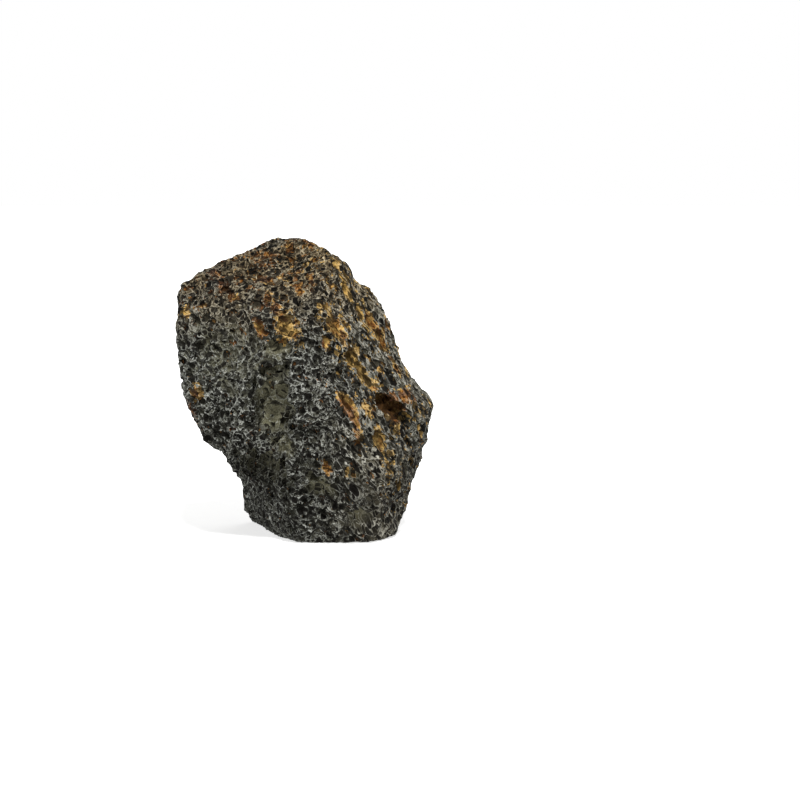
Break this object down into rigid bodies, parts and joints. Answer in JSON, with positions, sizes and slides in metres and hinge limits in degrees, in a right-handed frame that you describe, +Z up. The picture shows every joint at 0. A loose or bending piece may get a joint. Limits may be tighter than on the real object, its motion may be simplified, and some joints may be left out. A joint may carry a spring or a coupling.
{
  "type": "lava rock",
  "caption": "Upright chunk of vesicular lava rock with a slanting top, an undercut left side, a broad shoulder and foot at the right, and a flat base to stand on.",
  "frame": {"origin": "middle of the stone's outline seen from above, on the plane of its flat base", "axes": "+Z up, along the stone's longest side; -Y is the front, seen in the picture; +X points to the shoulder and foot at its right"},
  "size_m": [0.2048, 0.1755, 0.2359],
  "materials": {
    "basalt": "dull, rough and full of gas bubbles, grey-brown with rust-coloured spots"
  },
  "bodies": {
    "root": {"lava_rock": "basalt"}
  },
  "joints": []
}
